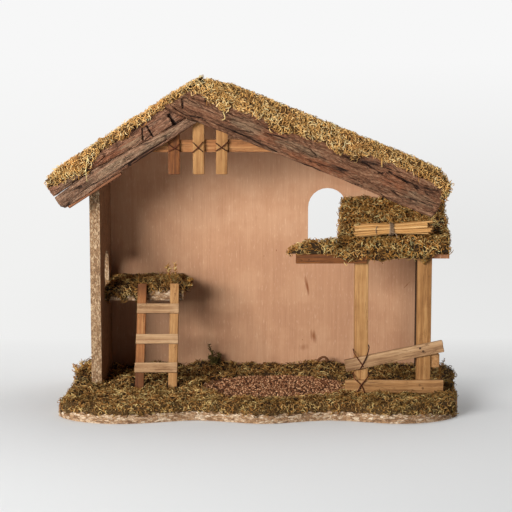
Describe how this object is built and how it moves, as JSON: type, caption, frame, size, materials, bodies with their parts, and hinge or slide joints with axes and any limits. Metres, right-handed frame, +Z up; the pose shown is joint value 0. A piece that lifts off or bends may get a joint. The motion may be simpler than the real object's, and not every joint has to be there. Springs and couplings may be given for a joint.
{
  "type": "nativity stable",
  "caption": "Table-top nativity stable with a mossy bark-edged gable roof, arched windows, a loft with a leaning ladder, and a fenced pen under a mossy lean-to.",
  "frame": {"origin": "middle of the underside of the base, on the surface that the stable stands on", "axes": "+X along the front to the viewer's right, +Y from the open front to the back wall, +Z up"},
  "size_m": [0.3931, 0.2118, 0.3161],
  "materials": {
    "chipboard": "raw pressed wood flakes, matt",
    "plywood": "thin pinkish veneer, matt",
    "moss": "dried curly moss",
    "roof_moss": "dried pale moss",
    "gravel": "glued pinkish brown grit",
    "bark": "rough fissured bark",
    "grey_bark": "weathered grey bark strip",
    "pale_pine": "sawn pine strip, matt",
    "stained_pine": "brown stained pine strip, matt",
    "dark_pine": "dark stained pine strip, matt",
    "iron_wire": "dark annealed wire",
    "nail": "dull steel",
    "straw": "dry straw, slight sheen",
    "straw_band": "grey brown cord band"
  },
  "bodies": {
    "stable": {"base_board": "chipboard", "left_wall": "chipboard", "right_wall": "chipboard", "loft_board": "chipboard", "back_wall": "plywood", "left_roof_panel": "plywood", "right_roof_panel": "plywood", "lean_to_board": "plywood", "ground_moss": "moss", "left_roof_moss": "roof_moss", "right_roof_moss": "roof_moss", "loft_moss": "moss", "lean_to_moss": "moss", "sill_moss": "moss", "gravel_path": "gravel", "right_bark": "bark", "left_upper_bark": "bark", "left_lower_bark": "grey_bark", "left_bark_splint": "bark", "tie_beam": "pale_pine", "hanging_slat_left": "stained_pine", "hanging_slat_middle": "pale_pine", "hanging_slat_right": "pale_pine", "pen_post_left": "stained_pine", "pen_post_right": "stained_pine", "pen_board_lower": "stained_pine", "pen_board_upper": "stained_pine", "side_rail": "stained_pine", "sill_beam": "dark_pine", "roof_prop": "stained_pine", "slat_wires": "iron_wire", "pen_wires": "iron_wire", "pen_nails": "nail", "back_wall_nails": "nail", "straw_bundle": "straw", "straw_tie": "straw_band"},
    "ladder": {"ladder_rail_left": "pale_pine", "ladder_rail_right": "pale_pine", "ladder_rung_lower": "pale_pine", "ladder_rung_middle": "pale_pine", "ladder_rung_upper": "pale_pine"}
  },
  "joints": [
    {"name": "ladder_tip", "type": "hinge", "parent": "stable", "child": "ladder", "pos_m": [-0.1037, -0.00525, 0.01305], "axis": [1, 0, 0], "range_deg": [0, 60]}
  ]
}
